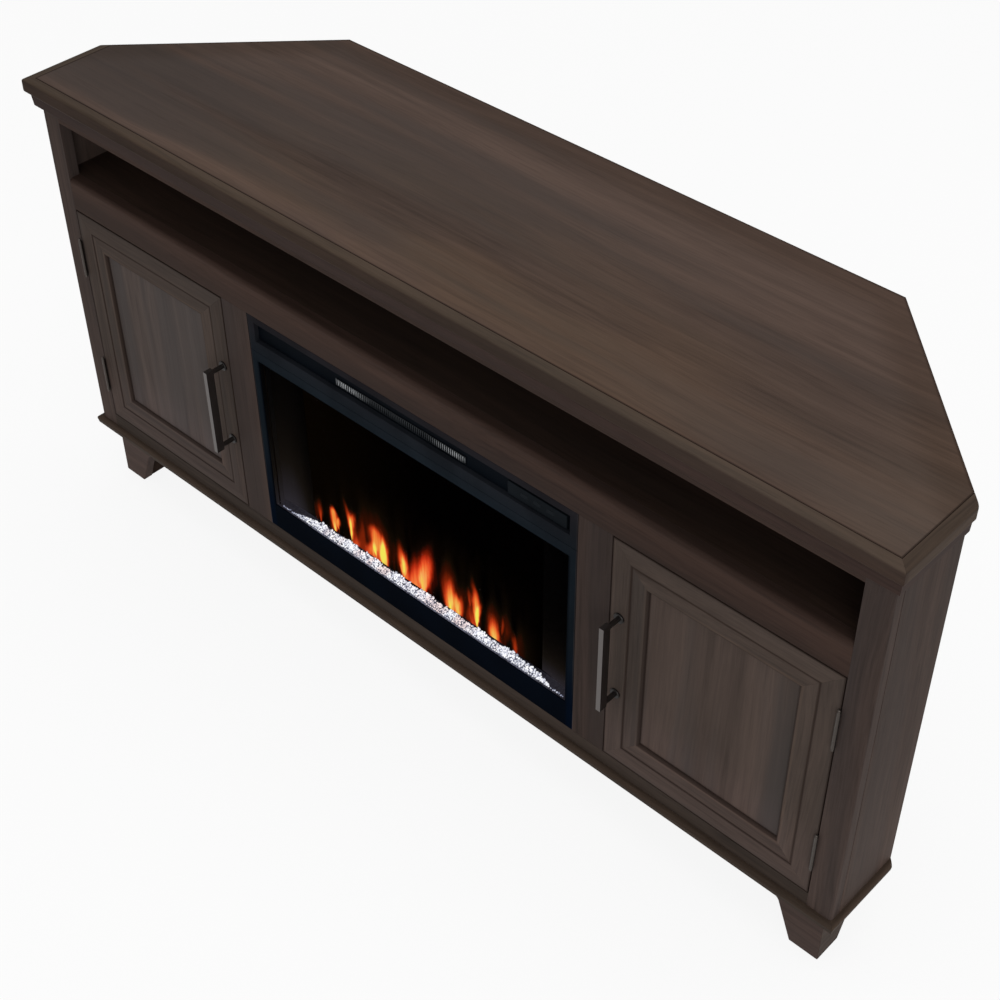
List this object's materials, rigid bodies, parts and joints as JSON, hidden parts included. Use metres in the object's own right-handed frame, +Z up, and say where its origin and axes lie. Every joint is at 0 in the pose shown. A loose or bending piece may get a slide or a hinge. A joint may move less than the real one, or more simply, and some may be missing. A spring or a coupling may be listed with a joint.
{
  "type": "corner fireplace cabinet",
  "caption": "Dark wooden corner media cabinet with angled rear corners, an open shelf, two cupboards and an electric fire with a flame effect in the middle.",
  "frame": {"origin": "on the floor, under the middle of the bounding box", "axes": "+X to the right seen from the front, +Y from front to back, +Z up"},
  "size_m": [1.65, 0.46, 0.819],
  "materials": {
    "top_wood": "satin stained wood with a soft grain",
    "face_wood": "satin stained wood with a soft grain",
    "inner_wood": "dark stained board",
    "hinge_steel": "satin",
    "handle_metal": "satin nickel on the front, darker sides",
    "rose_metal": "satin black",
    "black_metal": "satin black",
    "case_steel": "satin dark grey",
    "black_plastic": "matt",
    "catch_plastic": "matt",
    "grille_chrome": "bright",
    "glass": "clear, slightly smoked",
    "screen": "dark translucent sheet",
    "reflector": "satin grey",
    "tray_plastic": "translucent",
    "crystal": "clear and bright",
    "board_green": "circuit board",
    "lamp": "lamps on a pale board",
    "bright_metal": "bright",
    "motor_metal": "satin grey"
  },
  "bodies": {
    "cabinet": {"top_panel": "top_wood", "top_edging": "top_wood", "crown_moulding": "face_wood", "corner_posts": "face_wood", "top_rail": "face_wood", "shelf_rail": "face_wood", "fire_stiles": "face_wood", "bottom_rail": "face_wood", "media_shelf": "face_wood", "bottom_panel": "inner_wood", "side_panels": "face_wood", "angled_backs": "inner_wood", "centre_back": "inner_wood", "partitions": "inner_wood", "base_moulding": "face_wood", "front_plinth": "face_wood", "side_plinths": "face_wood", "corner_blocks": "inner_wood", "rear_feet": "inner_wood", "cupboard_shelves": "inner_wood", "shelf_pins": "hinge_steel", "door_catches": "catch_plastic", "jamb_leaves": "hinge_steel", "hinge_pins": "hinge_steel", "fire_bezel": "black_metal", "fire_glass": "glass", "outlet_panel": "black_metal", "outlet_grille": "grille_chrome", "control_panel": "black_plastic", "control_board": "board_green", "fire_case": "case_steel", "case_brackets": "hinge_steel", "cord_inlet": "black_plastic", "flame_screen": "screen", "side_reflectors": "reflector", "ember_tray": "tray_plastic", "ember_crystals": "crystal", "light_strips": "lamp", "rotor_brackets": "case_steel", "rotor_motor": "motor_metal", "blower_case": "case_steel", "blower_motor": "motor_metal", "heating_element": "bright_metal"},
    "left_door": {"left_door_frame": "face_wood", "left_door_panel": "face_wood", "left_door_leaves": "hinge_steel", "left_handle": "handle_metal", "left_handle_fixings": "rose_metal", "left_strike_plate": "hinge_steel"},
    "right_door": {"right_door_frame": "face_wood", "right_door_panel": "face_wood", "right_door_leaves": "hinge_steel", "right_handle": "handle_metal", "right_handle_fixings": "rose_metal", "right_strike_plate": "hinge_steel"},
    "flame_rotor": {"flame_rotor": "bright_metal"},
    "blower_wheel": {"blower_wheel": "bright_metal"},
    "power_button": {"power_button": "black_plastic"},
    "flame_button": {"flame_button": "black_plastic"},
    "heat_button": {"heat_button": "black_plastic"}
  },
  "joints": [
    {"name": "left_door_hinge", "type": "hinge", "parent": "cabinet", "child": "left_door", "pos_m": [-0.768, -0.196, 0.3736], "axis": [0, 0, -1], "range_deg": [0, 170]},
    {"name": "right_door_hinge", "type": "hinge", "parent": "cabinet", "child": "right_door", "pos_m": [0.768, -0.196, 0.3736], "axis": [0, 0, 1], "range_deg": [0, 170]},
    {"name": "flame_rotor_spin", "type": "hinge", "parent": "cabinet", "child": "flame_rotor", "pos_m": [0, -0.131, 0.222], "axis": [1, 0, 0], "continuous": true},
    {"name": "blower_wheel_spin", "type": "hinge", "parent": "cabinet", "child": "blower_wheel", "pos_m": [-0.013, -0.1215, 0.5575], "axis": [1, 0, 0], "continuous": true},
    {"name": "power_button_press", "type": "slide", "parent": "cabinet", "child": "power_button", "axis": [0, 1, 0], "range_m": [0, 0.001], "stiffness_N_per_m": 400},
    {"name": "flame_button_press", "type": "slide", "parent": "cabinet", "child": "flame_button", "axis": [0, 1, 0], "range_m": [0, 0.001], "stiffness_N_per_m": 400},
    {"name": "heat_button_press", "type": "slide", "parent": "cabinet", "child": "heat_button", "axis": [0, 1, 0], "range_m": [0, 0.001], "stiffness_N_per_m": 400}
  ]
}
